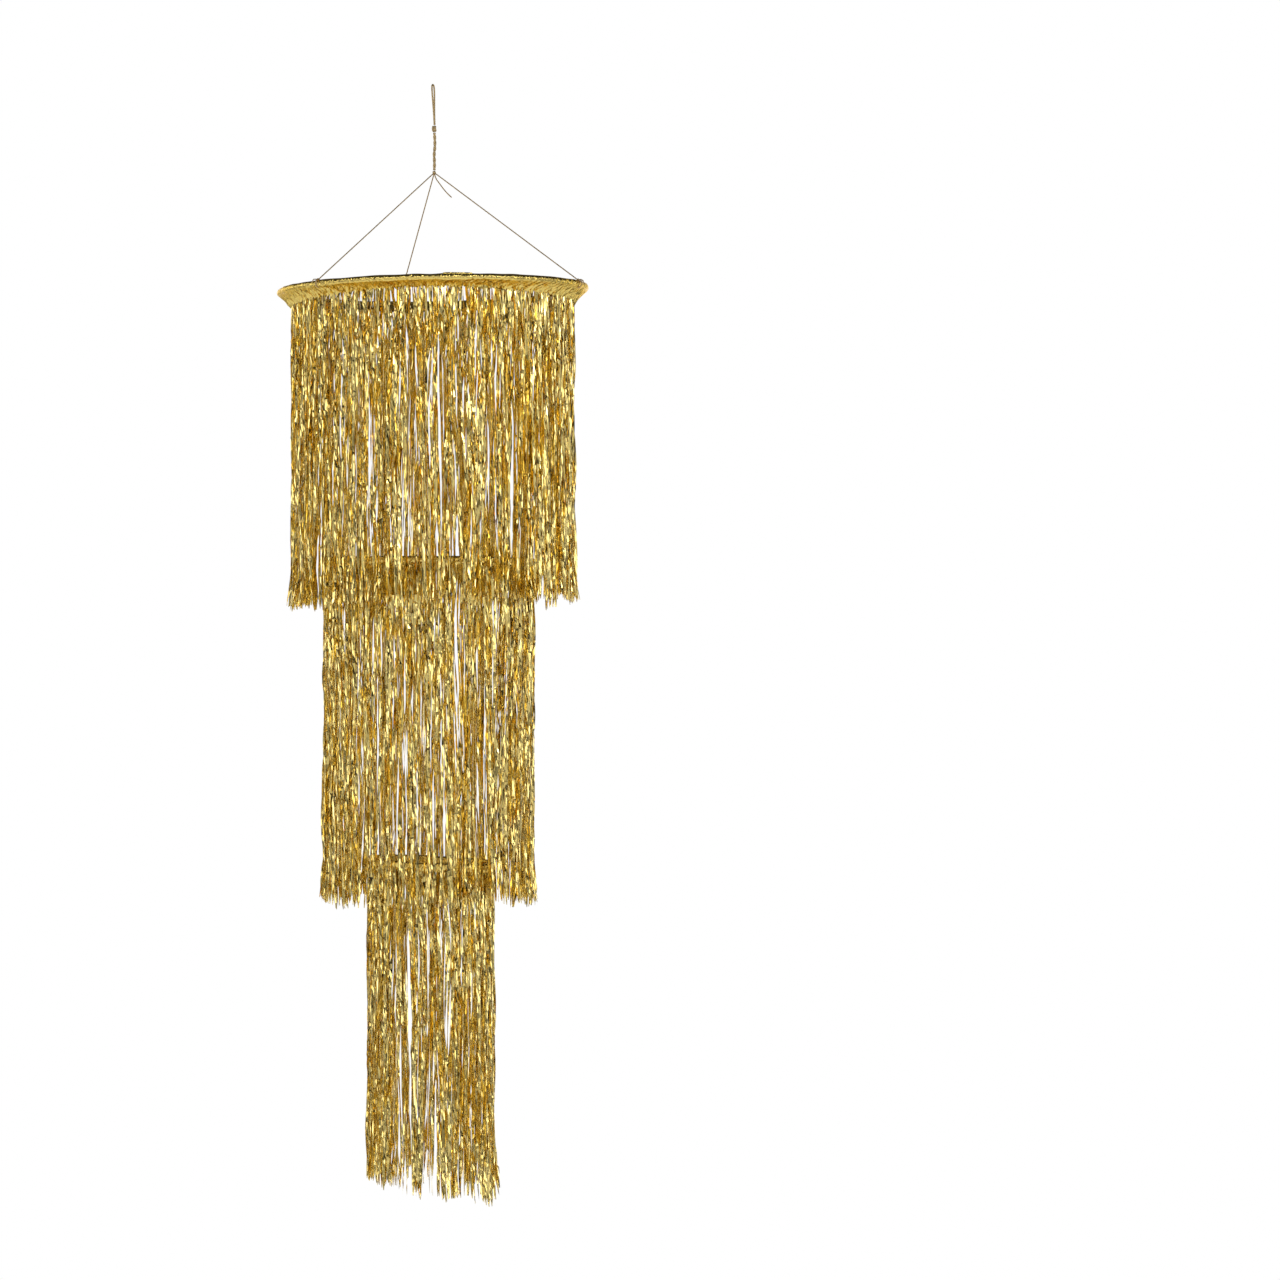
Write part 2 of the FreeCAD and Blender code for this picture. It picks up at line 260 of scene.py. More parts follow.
def even_steps(line, step):
    """The same line with its points about one step apart, and how far along each of them lies."""
    run = run_of(line)
    wanted = np.linspace(0, run[-1], max(3, round(run[-1] / step) + 1))
    return np.stack([np.interp(wanted, run, line[:, axis]) for axis in range(3)], axis=1), wanted


corner = [Vector((0, 0, 0)), Vector((0, 0, 10 * MM)), Vector((10 * MM, 0, 10 * MM))]
print(f"a route of 20 mm round a corner gives {run_of(smooth_line(corner))[-1] / MM:.1f} mm of line")


# %% Sweep a lobed section along a line
ANY_WAY = (0.3, 0.9, 0.1)


def side_vectors(line):
    """Two directions square to the line that turn as little as possible from point to point."""
    along = np.gradient(line, axis=0)
    along /= np.linalg.norm(along, axis=1)[:, None]
    start = np.cross(along[0], ANY_WAY)
    first = [start / np.linalg.norm(start)]
    for way in along[1:]:
        flat = first[-1] - way * np.dot(first[-1], way)
        first.append(flat / np.linalg.norm(flat))
    first = np.array(first)
    return first, np.cross(along, first)


def laid_cord(line, diameter, strands=3, pitch=4.0, groove=0.2, around=12, step=0.55 * MM, ends=0.4):
    """The parts of a cord: strands laid round each other once in each pitch of cord diameters."""
    line, run = even_steps(line, step)
    first, second = side_vectors(line)
    angle = np.linspace(0, 2 * math.pi, around, endpoint=False)
    twist = 2 * math.pi * run / (pitch * diameter)
    lobes = np.abs(np.cos((angle[None, :] - twist[:, None]) * strands / 2))
    taper = np.ones(len(run))
    taper[0] = taper[-1] = ends
    radius = diameter / 2 * (1 - groove + groove * lobes) * taper[:, None]
    out = np.cos(angle)[None, :, None] * first[:, None, :]
    out = out + np.sin(angle)[None, :, None] * second[:, None, :]
    points = (line[:, None, :] + radius[..., None] * out).reshape(-1, 3)
    faces = grid_faces(len(run), around, closed=True)
    share = (np.arange(faces.shape[0]) % around) / around
    depth = np.repeat(run[:-1], around)
    rise = np.repeat(np.diff(run), around)
    corners = [(share, depth), (share + 1 / around, depth)]
    corners += [(share + 1 / around, depth + rise), (share, depth + rise)]
    laid = np.stack([np.stack(corner, axis=1) for corner in corners], axis=1)
    return points, faces, laid.reshape(-1, 2)


sample, _, _ = laid_cord(np.array([(0, 0, 0), (0, 0, 10 * MM)]), 2 * MM)
print("10 mm of cord is swept through", len(sample), "points")

# %% [markdown]
# ## Hanging loop, stem and tail
# The loop goes over a ceiling hook, closes at a knot and carries on down as two cords twisted
# together. Below the second knot one cut end is left over. Each follows the same points as its
# solid, and the loop is turned so that its flat is nearly edge-on from the front. The second knot
# is tied a little higher than its solid, and real cord looks thicker than a tidy tube.

# %% Routes of the cords at the top
CORD = 1.9 * MM
THIN_CORD = 1.3 * MM
JOINT_GAP = 0.3 * MM
CORD_SEAT = 0.3 * MM
GATHERS_HIGHER = Vector((0, 0, 3.5 * MM))
LOOP_TURN = math.radians(74)
LOOP_LEANS = -0.04
LOOP_MOUTH = 0.75
# One side of the loop from its foot to its top: millimetres across and up
LOOP_SIDE = [(0.8, -36.4), (1.5, -27), (2.9, -15.6), (4.1, -6), (3.1, 0.65)]
# The cut end: millimetres from the middle of the gathering knot
TAIL = [
    (1.4, -2.8, -6.4),
    (5.8, -4.0, -12.2),
    (10.4, -4.8, -18.6),
    (14.9, -5.2, -23.8),
    (19.2, -5.4, -27.6),
]
# The stem: the share of its drop that is left, and millimetres to the right
STEM_WANDERS = [(1, 0), (0.85, 0.5), (0.62, 0.7), (0.42, -0.3), (0.2, 0.3), (0, 0)]

loop_knot_low, loop_knot_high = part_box("loop_knot")
gathering_low, gathering_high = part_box("gathering_knot")
stem_low, stem_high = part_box("twisted_stem")
loop_knot_at = (loop_knot_low + loop_knot_high) / 2
gathering_at = (gathering_low + gathering_high) / 2 + GATHERS_HIGHER
knot_radius = (gathering_high.z - gathering_low.z) / 2


def loop_point(across, up):
    """A point of the flat loop, turned about the upright and leaning a little aside."""
    leans = LOOP_LEANS * (up - LOOP_SIDE[0][1])
    return Vector((across * math.cos(LOOP_TURN) + leans, across * math.sin(LOOP_TURN), up)) * MM


loop_half = [(LOOP_MOUTH, (loop_knot_high.z + JOINT_GAP) / MM)] + LOOP_SIDE
loop_flat = loop_half + [(-across, up) for across, up in reversed(loop_half)]
loop_route = [loop_point(across, up) for across, up in loop_flat]
tail_start = gathering_at + Vector(TAIL[0]).normalized() * (knot_radius - CORD_SEAT)
tail_route = [tail_start] + [gathering_at + Vector(point) * MM for point in TAIL]
stem_end = Vector((0, 0, stem_low.z)) + GATHERS_HIGHER
stem_drop = stem_high.z - stem_end.z
stem_route = [stem_end + Vector((aside * MM, 0, share * stem_drop)) for share, aside in STEM_WANDERS]
print(f"the stem is {stem_drop / MM:.1f} mm long from knot to knot")


# %% Make a cord
PATH_STEP = 1.5 * MM
STEM_FULLER = 0.8 * MM


def cord_piece(name, node, body, route, diameter, lay="hanging", **look):
    """A laid cord that stands for a CAD node and rides a body."""
    line = smooth_line(route)
    piece = make_piece(name, [laid_cord(line, diameter, **look)])
    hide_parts(node)
    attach(piece, body)
    path, _ = even_steps(line, PATH_STEP)
    return piece


stem_width = stem_high.x - stem_low.x + STEM_FULLER
stem_look = {"strands": 2, "pitch": 3.6, "groove": 0.4, "around": 20}
cords = [
    cord_piece("loop_cord", "hanging_loop", "loop", loop_route, CORD),
    cord_piece("tail_cord", "cord_tail", "crown", tail_route, THIN_CORD),
    cord_piece("stem_cords", "twisted_stem", "stem", stem_route, stem_width, "taut", **stem_look),
]

# %% [markdown]
# ## Suspension and link cords
# Three cords run from the gathering knot to the top rim. Inside each tier, three more run from
# knots in the header down to the next hoop. All of them carry weight, so they are straight.

# %% Make the cords between the tiers
# Where the three cords are tied round each rim, in degrees from +X
SIDES = {"front_right": -17.4, "back": 106.4, "front_left": 226}
LINKED = (("top", "middle"), ("middle", "bottom"))


def polar(radius, degrees, z):
    angle = math.radians(degrees)
    return Vector((radius * math.cos(angle), radius * math.sin(angle), z))


def tie_place(tier, degrees):
    """The middle of the knot on top of a rim."""
    return Vector(tier.hang(polar(tier.ring, degrees, tier.ring_z + tier.roll + THIN_CORD / 2)))


def link_place(tier, name):
    """The middle of the stopper knot of a link cord, inside the seal line of a tier."""
    low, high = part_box(name)
    return Vector(tier.hang((low + high) / 2))


def joint_travel(name):
    """The longest slide of a joint, in metres."""
    return next(joint for joint in frame["joints"] if joint["name"] == name)["range_m"][1]


# How far the solid of a tie stands above the middle of the knot that is tied here
knot_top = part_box("suspension_tie_back")[1].z - tie_place(tiers["top"], SIDES["back"]).z


def straight_cord(node, body, joint, start, end):
    """A cord pulled tight from its start to just short of the knot at its end."""
    end = end - (end - start).normalized() * (knot_top + JOINT_GAP)
    route = [start, (start + end) / 2, end]
    piece = cord_piece(f"{node}_laid", node, body, route, THIN_CORD, lay="taut")
    keep = 1 - joint_travel(joint) / (start.z - end.z)
    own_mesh(piece)
    return piece


for side, degrees in SIDES.items():
    tied_at = tie_place(tiers["top"], degrees)
    start = gathering_at + (tied_at - gathering_at).normalized() * (knot_radius - CORD_SEAT)
    cords.append(straight_cord(f"suspension_cord_{side}", "crown", "top_lift", start, tied_at))

for upper, lower in LINKED:
    for side, degrees in SIDES.items():
        start = link_place(tiers[upper], f"{lower}_link_knot_{side}")
        tied_at = tie_place(tiers[lower], degrees)
        node = f"{lower}_link_cord_{side}"
        cords.append(straight_cord(node, f"{upper}_tier", f"{lower}_lift", start, tied_at))

# %% [markdown]
# ## Knots
# An overhand knot pulled tight is a trefoil: the cord goes twice round and passes through itself.
# A ball with lines on it would look smooth, so the knots are the real path, drawn up until the
# turns touch. On each rim the cord also goes once round the roll and leaves two short cut ends.

# %% Tie the knots
KNOT_STEP = 0.35 * MM


def trefoil(centre, width, height, cord, turn=0.0):
    """The parts of a tight overhand knot of a cord, upright, inside a width and a height."""
    step = np.linspace(0, 2 * math.pi, 90)
    across = (width - cord) / 2 / 3
    points = np.stack(
        [
            across * (np.sin(step) + 2 * np.sin(2 * step)),
            across * (np.cos(step) - 2 * np.cos(2 * step)),
            -(height - cord) / 2 * np.sin(3 * step),
        ],
        axis=1,
    )
    cosine, sine = math.cos(turn), math.sin(turn)
    turned = points @ np.array([[cosine, sine, 0], [-sine, cosine, 0], [0, 0, 1]])
    return laid_cord(turned + np.array(centre), cord, step=KNOT_STEP)


def doubled_knot(at, size, cord, inner_cord, inner, turns):
    """Two overhand knots drawn into one: the second is smaller and turned inside the first."""
    return [
        trefoil(at, size.x, size.z, cord, turns[0]),
        trefoil(at, inner[0] * size.x, inner[1] * size.z, inner_cord, turns[1]),
    ]


def knot_piece(name, node, body, parts):
    piece = make_piece(name, parts)
    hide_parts(node)
    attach(piece, body)
    return piece


loop_knot_parts = doubled_knot(
    loop_knot_at, loop_knot_high - loop_knot_low, 1.35 * CORD, 1.2 * CORD, (0.8, 0.86), (0.4, 1.5)
)
gathering_parts = doubled_knot(
    gathering_at, gathering_high - gathering_low, 1.3 * THIN_CORD, THIN_CORD, (0.8, 0.7), (0.2, 1.3)
)
knots = [
    knot_piece("loop_knot_tied", "loop_knot", "loop_knot", loop_knot_parts),
    knot_piece("gathering_knot_tied", "gathering_knot", "crown", gathering_parts),
]
print(len(knots), "knots above the tiers")


# %% Tie a cord round a rim
KNOT_WIDTH = 3.2 * MM
# Shortest and longest cut ends left of a knot, in millimetres: a long one and a short one
CUT_ENDS = {-1: (5.0, 8.0), 1: (3.0, 5.0)}
TIES = {"top": "suspension_tie", "middle": "middle_tie", "bottom": "bottom_tie"}


def cut_end(knot_at, out, side, up, roll, drop):
    """A short end that leaves a knot sideways, goes over the rim and hangs down its drop."""
    route = [
        knot_at + side * 0.8 * MM + out * 0.6 * MM,
        knot_at + side * 2.0 * MM + out * (roll + 1.3 * MM) + up * 0.6 * MM,
        knot_at + side * 2.8 * MM + out * (roll + 2.2 * MM) - up * drop * 0.5 * MM,
        knot_at + side * 3.0 * MM + out * (roll + 2.4 * MM) - up * drop * MM,
    ]
    return laid_cord(smooth_line(route), 0.9 * THIN_CORD)


def rim_tie(name, node, tier, degrees, rng):
    """A cord once round the rolled rim, its knot on top and two cut ends that hang over the rim."""
    out = polar(1, degrees, 0)
    up = Vector((0, 0, 1))
    middle = tier.hang(out * tier.ring + up * tier.ring_z)
    turn = np.linspace(0, 2 * math.pi, 60)
    way = np.sin(turn)[:, None] * np.array(out) + np.cos(turn)[:, None] * np.array(up)
    ring = middle + (tier.roll + THIN_CORD / 2) * way
    knot_at = tie_place(tier, degrees)
    parts = [laid_cord(ring, THIN_CORD), trefoil(knot_at, KNOT_WIDTH, KNOT_WIDTH, THIN_CORD)]
    drops = {lean: rng.uniform(*lengths) for lean, lengths in CUT_ENDS.items()}
    for lean, drop in drops.items():
        parts.append(cut_end(knot_at, out, out.cross(up) * lean, up, tier.roll, drop))
    return knot_piece(name, node, f"{tier.name}_tier", parts)


rng = np.random.default_rng(11)
for side, degrees in SIDES.items():
    for name, tier in tiers.items():
        node = f"{TIES[name]}_{side}"
        knots.append(rim_tie(f"{node}_tied", node, tier, degrees, rng))
    for upper, lower in LINKED:
        node = f"{lower}_link_knot_{side}"
        at = link_place(tiers[upper], node)
        stopper = [trefoil(at, KNOT_WIDTH, KNOT_WIDTH, 1.2 * THIN_CORD)]
        knots.append(knot_piece(f"{node}_tied", node, f"{upper}_tier", stopper))
print(len(knots), "knots and ties")

# %% [markdown]
# ## Smooth random fields
# Foil hangs neither straight nor all the same. Noise that jumps from point to point would look
# like static, so the variation is a sum of slanting waves laid over the unrolled wall of a tier.
# Each wave fits a whole number of times round the tier, so the field has no seam.

# %% Waves over the wall of a tier
def wall_waves(rng, girth, shortest, longest, low_rise, high_rise, count=28):
    """A field of about 1 in size: its waves go from shortest to longest across, and rise apart."""
    turns = np.round(girth / rng.uniform(shortest, longest, count))
    rise = 2 * math.pi / rng.uniform(low_rise, high_rise, count) * rng.choice([-1, 1], count)
    start = rng.uniform(0, 2 * math.pi, count)

    def field(across, depth):
        total = np.zeros(np.broadcast(across, depth).shape)
        for each_turn, each_rise, each_start in zip(turns, rise, start):
            total += np.sin(2 * math.pi * each_turn * across / girth + each_rise * depth + each_start)
        return total * math.sqrt(2 / count)

    return field


def strand_waves(rng, strips, depth, shortest, longest, count=5):
    """The same along each strip by itself, one row of numbers for each strip."""
    total = np.zeros(depth.shape)
    for _ in range(count):
        wave = rng.uniform(shortest, longest, (strips, 1))
        total += np.sin(2 * math.pi * depth / wave + rng.uniform(0, 2 * math.pi, (strips, 1)))
    return total * math.sqrt(2 / count)


def waves_round(girth, sizes, rng):
    """A field for each name, from its shortest and longest waves across and down in millimetres."""
    return {name: wall_waves(rng, girth, *(size * MM for size in row)) for name, row in sizes.items()}


trial = wall_waves(np.random.default_rng(1), 1.0, 10 * MM, 40 * MM, 20 * MM, 80 * MM)
print(f"a field's usual size is {trial(np.linspace(0, 1, 500), 0.0).std():.2f}")

# %% [markdown]
# ## Header
# The header is the top of the foil band, folded over the hoop and sealed below it. The fold makes
# a round shiny rim, and the band under it narrows to the seal line like a collar, so it creases
# slantwise and bunches at the seal. The ends of the band lap over each other. On the top tier the
# lap is at the front, on the bottom tier at the side, and the middle one is left out as hidden.

# %% Outline of the folded foil
ROLL_POINTS = 22
OUTER_ROWS = 20
INNER_ROWS = 9
SEAL_STANDS_OUT = 0.8 * MM


def touch_angle(tier, edge_radius, side):
    """Where a straight side of the fold leaves the roll, seen from the middle of the roll."""
    across = edge_radius - tier.ring
    down = tier.seal_z - tier.ring_z
    reach = math.hypot(across, down)
    return math.atan2(down, across) + side * math.acos(tier.roll / reach)


def fold_outline(tier):
    """Radius, height and share of crease for points from the inner seal over the rim and down."""
    inside = tier.inner - tier.drawn_in
    outside = tier.outer - tier.drawn_in
    leave_in = touch_angle(tier, inside, -1)
    leave_out = touch_angle(tier, outside, 1)
    if leave_out > leave_in:
        leave_out = leave_out - 2 * math.pi
    turn = np.linspace(leave_in, leave_out, ROLL_POINTS)
    roll = np.stack([tier.ring + tier.roll * np.cos(turn), tier.ring_z + tier.roll * np.sin(turn)], 1)
    down = np.linspace(0, 1, OUTER_ROWS)[1:, None]
    outer_side = roll[-1] + (np.array([outside + SEAL_STANDS_OUT, tier.seal_z]) - roll[-1]) * down
    up = np.linspace(0, 1, INNER_ROWS)[:-1, None]
    inner_seal = np.array([inside, tier.seal_z])
    inner_side = inner_seal + (roll[0] - inner_seal) * up
    crease = np.concatenate([1 - up[:, 0], np.zeros(len(roll)), down[:, 0]])
    return np.concatenate([inner_side, roll, outer_side]), crease


def outline_normals(outline, middle):
    """Directions square to an outline, pointing away from the middle of its roll."""
    normal = np.gradient(outline, axis=0)[:, ::-1] * np.array([-1, 1])
    normal /= np.linalg.norm(normal, axis=1)[:, None]
    halfway = len(outline) // 2
    if np.dot(normal[halfway], outline[halfway] - middle) < 0:
        normal = -normal
    return normal


for tier in tiers.values():
    outline, _ = fold_outline(tier)
    print(tier.name, "outline spans", np.round((outline.max(0) - outline.min(0)) / MM, 1), "mm")


# %% Fold the headers
HEADER_STEP = 1.1 * MM
CREASES = 1.5 * MM
BUNCHES = 0.6 * MM
DENTS = 0.22 * MM
SCALLOPS = 0.8 * MM
SLANTING_SCALLOPS = 0.5 * MM
SEAL_HANGS = 1.0 * MM
LAP_LENGTH = 31 * MM
LAP_RISES = 0.55 * MM
LAP_LEANS = 0.21
LAP_STARTS = {"top": -83.5, "bottom": 20.0}
SEAL_DIPS = {"top": 3.2 * MM, "middle": 1.0 * MM, "bottom": 0.6 * MM}
# Shortest and longest waves across and down, in millimetres
HEADER_WAVES = {"slanting": (5, 18, 9, 24), "gathers": (3.5, 9, 60, 200), "dents": (22, 80, 40, 90)}


def seal_dip(tier, angle):
    """How far the seal line hangs below its usual height: the hoop is pulled a little oval."""
    return SEAL_DIPS[tier.name] * np.cos(2 * angle)


def on_lap(tier, angle):
    """Where round a tier the two ends of its band lie over each other."""
    if tier.name not in LAP_STARTS:
        return np.zeros(angle.shape, bool)
    start = math.radians(LAP_STARTS[tier.name])
    return (angle > start) & (angle < start + LAP_LENGTH / tier.rim)


def header_points(tier, angle, outline, crease, rng):
    """The points of a folded header: its outline at every angle, pushed in and out and let down."""
    waves = waves_round(2 * math.pi * tier.rim, HEADER_WAVES, rng)
    around = angle * tier.rim
    depth = (tier.ring_z + tier.roll - outline[:, 1])[:, None]
    crease = crease[:, None]
    lap = on_lap(tier, angle)
    push = CREASES * crease * (0.8 - np.abs(waves["slanting"](around, depth)))
    push = push + BUNCHES * crease**2 * waves["gathers"](around, depth)
    push = push + DENTS * waves["dents"](around, depth) + LAP_RISES * lap
    normal = outline_normals(outline, np.array([tier.ring, tier.ring_z]))
    above = np.clip(outline[:, 1:] - tier.ring_z, 0, None)
    short = np.where(outline[:, :1] > tier.ring, tier.rim - outline[:, :1], 0)
    radius = outline[:, :1] + normal[:, :1] * push
    radius = radius + lap * (above > 0) * (short + LAP_LEANS * above) * (short > 0)
    at_seal = 0 * depth
    scallop = SCALLOPS * waves["gathers"](around, at_seal)
    scallop = scallop + SLANTING_SCALLOPS * waves["slanting"](around, at_seal)
    height = outline[:, 1:] + normal[:, 1:] * push
    height = height - crease**4 * (scallop + SEAL_HANGS) - crease * seal_dip(tier, angle)
    x, y = radius * np.cos(angle), radius * np.sin(angle)
    return tier.hang(np.stack([x, y, height], axis=-1).reshape(-1, 3))


def header(tier, rng):
    """The folded foil of a tier as one grid, with its creases, bunching and lap."""
    outline, crease = fold_outline(tier)
    girth = 2 * math.pi * tier.rim
    columns = round(girth / HEADER_STEP)
    angle = np.linspace(-math.pi / 2, 1.5 * math.pi, columns + 1)[None, :]
    points = header_points(tier, angle, outline, crease, rng)
    faces = grid_faces(len(outline), columns + 1, closed=False)
    run = run_of(outline)
    laid = np.stack(np.broadcast_arrays(angle * tier.rim, run[:, None]), axis=-1).reshape(-1, 2)
    laid = laid[faces.ravel()]
    bake = (laid - laid.min(0)) / (laid.max(0) - laid.min(0)) * 0.98 + 0.01
    name = f"{tier.name}_header"
    piece = make_piece(f"{name}_foil", [(points, faces, laid)], bake)
    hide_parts(name)
    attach(piece, f"{tier.name}_tier")
    return piece


rng = np.random.default_rng(23)
headers = {name: header(tier, rng) for name, tier in tiers.items()}
for name, piece in headers.items():
    print(piece.name, len(piece.data.polygons), "faces")

# %% [markdown]
# ## Hoops
# The steel hoop is hidden inside the roll, but it is there when the header is looked into from
# below. It is drawn wire, bent round and butted, and it hangs at the same slant as its header.

# %% Bend the wires
HOOP_STEP = 4 * MM


def hoop(tier):
    """The wire of a tier, as one round strand that ends where it begins."""
    turn = np.linspace(0, 2 * math.pi, 240)
    x, y = tier.ring * np.cos(turn), tier.ring * np.sin(turn)
    line = tier.hang(np.stack([x, y, np.full(len(turn), tier.ring_z)], axis=1))
    wire = laid_cord(line, 2 * tier.wire, strands=1, groove=0.02, around=10, step=HOOP_STEP, ends=0.96)
    piece = make_piece(f"{tier.name}_hoop_wire", [wire])
    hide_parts(f"{tier.name}_hoop")
    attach(piece, f"{tier.name}_tier")
    return piece


hoops = [hoop(tier) for tier in tiers.values()]
print(len(hoops), "hoops")

# %% [markdown]
# ## Fringe
# Each ply is one band of foil cut into strips a few millimetres wide. A curtain with a picture of
# strips on it would be flat and could not let the light through, so every strip is a ribbon of
# its own. It starts flat at the seal, turns and bends further down, clings to its neighbours in
# clumps that leave open gaps, and ends at a ragged hem. A small share of strips hangs straight
# and edge-on, out of the clumps.

# %% Shape the strips of one ply
STRIP_WIDTH = 2.7 * MM
FACET = 7.0 * MM
TIP = 16 * MM
LOOSE_SHARE = 0.15
# How far each hem ends above its solid's, and how much more than that on the +X side
HEMS = {"top": (6 * MM, 1 * MM), "middle": (9.5 * MM, 0 * MM), "bottom": (22.5 * MM, -6.5 * MM)}
# A few strips bow out of the bottom tier on its -X side: half the angle they cover, in radians
STRAY = {("bottom", "outer"): 0.02}


def bump_at(depth, middle, spread):
    """1 at a depth and less above and below it."""
    return np.exp(-(((depth - middle) / spread) ** 2))


class Ply:
    """One ply of a tier's fringe. In its arrays a row is a strip, and a column goes down it."""

    def __init__(self, tier, which, waves, rng):
        self.tier = tier
        self.which = which
        self.waves = waves
        self.rng = rng
        self.cut()
        self.drape()
        self.twist()

    def cut(self):
        """Where each strip starts, how long it is, and how far down each of its points lies."""
        tier, rng = self.tier, self.rng
        self.band = 2 * math.pi * tier.rim
        self.strips = round(self.band / STRIP_WIDTH)
        self.column = (self.strips, 1)
        full_drop = tier.seal_z - tier.hem_z
        self.segments = round(full_drop / FACET)
        start = np.arange(self.strips)[:, None] + 0.5 + rng.uniform(-0.3, 0.3, self.column)
        self.place = start * (2 * math.pi * tier.outer) / self.strips
        angle = self.place / tier.outer
        ragged = 1.6 * MM * rng.standard_normal(self.column)
        ragged = ragged + 3.2 * MM * self.waves["clump"](self.place, full_drop)
        shorter, slant = HEMS[tier.name]
        self.dip = seal_dip(tier, angle)
        self.drop = full_drop - shorter + ragged - self.dip - slant * np.cos(angle)
        share = np.linspace(0, 1, self.segments + 1)[None, :] + np.zeros(self.column)
        uneven = rng.uniform(-0.42, 0.42, (self.strips, self.segments - 1))
        share[:, 1:-1] += uneven / self.segments
        self.depth = share * self.drop
        self.eased = 1 - np.exp(-self.depth / (22 * MM))

    def drape(self):
        """How far round and how far out each point hangs."""
        tier, place, depth, waves = self.tier, self.place, self.depth, self.waves
        free = 1 - np.exp(-((depth / (38 * MM)) ** 2))
        near_hem = np.clip((depth - self.drop + 60 * MM) / (60 * MM), 0, 1) ** 2
        self.loose = (self.rng.random(self.column) < LOOSE_SHARE) * 1.0
        around = place + free * 5.0 * MM * (1 - self.loose) * waves["clump"](place, depth)
        around = around + self.eased * 0.8 * MM * self.strands(120 * MM, 500 * MM)
        self.angle = around / tier.outer
        radius = {"outer": tier.outer, "inner": tier.inner}[self.which] - tier.drawn_in
        out = radius + free * 0.7 * MM * waves["puff"](place, depth)
        out = out + self.eased * 0.6 * MM * self.strands(60 * MM, 240 * MM)
        stray = np.abs(place / tier.outer - math.pi) < STRAY.get((tier.name, self.which), 0.0)
        out = out + stray * 6 * MM * bump_at(depth, 100 * MM, 38 * MM)
        self.out = out + near_hem * 3.5 * MM * np.maximum(waves["flare"](place, depth), -0.3)

    def twist(self):
        """How far each point is bent off its strip's line, and how far the strip is turned there."""
        place, depth, loose, rng = self.place, self.depth, self.loose, self.rng
        crumple = np.clip(0.32 + 0.55 * self.waves["patch"](place, depth), 0.04, 1.2)
        crumple = crumple + 0.5 * bump_at(depth, 42 * MM, 26 * MM)
        crumple = crumple * (1 - 0.9 * bump_at(depth, 0, 30 * MM))
        bend = 0.42 * MM * crumple * rng.standard_normal(depth.shape)
        self.bend = self.eased * bend
        slow_turn = self.strands(70 * MM, 320 * MM)
        own_turn = rng.uniform(-1.1, 1.1, self.column) * (1 - loose) + 1.4 * loose
        turn = self.eased * (own_turn + (0.7 - 0.5 * loose) * slow_turn)
        turn = turn + self.eased * 0.2 * crumple * rng.standard_normal(depth.shape)
        self.turn = turn + np.exp(-depth / (34 * MM)) * 1.1 * self.waves["pleat"](place, depth)

    def strands(self, shortest, longest):
        return strand_waves(self.rng, self.strips, self.depth, shortest, longest)

    def edges(self):
        """The points of both edges of every strip, and how wide each strip is cut."""
        cosine, sine = np.cos(self.angle), np.sin(self.angle)
        outward = np.stack([cosine, sine, 0 * cosine], axis=-1)
        sideways = np.stack([-sine, cosine, 0 * cosine], axis=-1)
        line = self.out[..., None] * outward
        line[..., 2] = self.tier.seal_z + 1.5 * MM - self.dip - self.depth
        line = self.tier.hang(line)
        across = np.cos(self.turn)[..., None] * sideways + np.sin(self.turn)[..., None] * outward
        facing = np.cos(self.turn)[..., None] * outward - np.sin(self.turn)[..., None] * sideways
        line = line + self.bend[..., None] * facing
        along = np.gradient(line, axis=1)
        along /= np.linalg.norm(along, axis=-1)[..., None]
        across -= along * (across * along).sum(axis=-1)[..., None]
        across /= np.linalg.norm(across, axis=-1)[..., None]
        width = STRIP_WIDTH * self.rng.uniform(0.86, 1.12, self.column)
        narrowing = 1 - 0.7 * np.clip((self.depth - self.drop + TIP) / TIP, 0, 1) ** 2
        half = (width * narrowing / 2)[..., None] * across
        return np.stack([line - half, line + half], axis=2).reshape(-1, 3), width


print(f"a strip is cut {STRIP_WIDTH / MM} mm wide and bends every {FACET / MM} mm")


# %% Hang both plies of every tier
# Shortest and longest waves across and down, in millimetres
FRINGE_WAVES = {
    "clump": (18, 46, 600, 3000),
    "puff": (20, 90, 120, 400),
    "flare": (14, 60, 200, 600),
    "patch": (30, 160, 60, 240),
    "pleat": (6, 16, 150, 600),
}


def ply_piece(ply):
    """The ribbons of a ply as one piece. Each is flat-shaded, because foil bends in flat facets."""
    points, width = ply.edges()
    rows = grid_faces(ply.segments + 1, 2, closed=False)
    corners = (ply.segments + 1) * 2
    first = np.arange(ply.strips)[:, None, None] * corners
    faces = (rows[None] + first).reshape(-1, 4)
    edge = np.tile([0.0, 1.0], ply.strips * (ply.segments + 1))
    number = np.repeat(np.arange(ply.strips), corners)
    deep = np.repeat(ply.depth.reshape(-1), 2)
    laid = np.stack([number + 0.02 + 0.96 * edge, deep], axis=1)[faces.ravel()]
    share = (number + 0.1 + 0.8 * edge) / ply.strips
    longest = float(ply.drop.max())
    bake = np.stack([share, 0.005 + 0.99 * deep / longest], axis=1)[faces.ravel()]
    tier = ply.tier
    node = f"{tier.name}_fringe_{ply.which}"
    piece = make_piece(f"{node}_strips", [(points, faces, laid)], bake)
    piece.data.shade_flat()
    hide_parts(node)
    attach(piece, f"{tier.name}_tier")
    total = float((width * ply.drop).sum())
    print(f"{piece.name}: {ply.strips} strips, {total:.3f} square metres of foil")
    return piece


def fringe(tier, rng):
    """The two plies of a tier, which cling together because they share their waves."""
    waves = waves_round(2 * math.pi * tier.outer, FRINGE_WAVES, rng)
    return [ply_piece(Ply(tier, which, waves, rng)) for which in ("outer", "inner")]


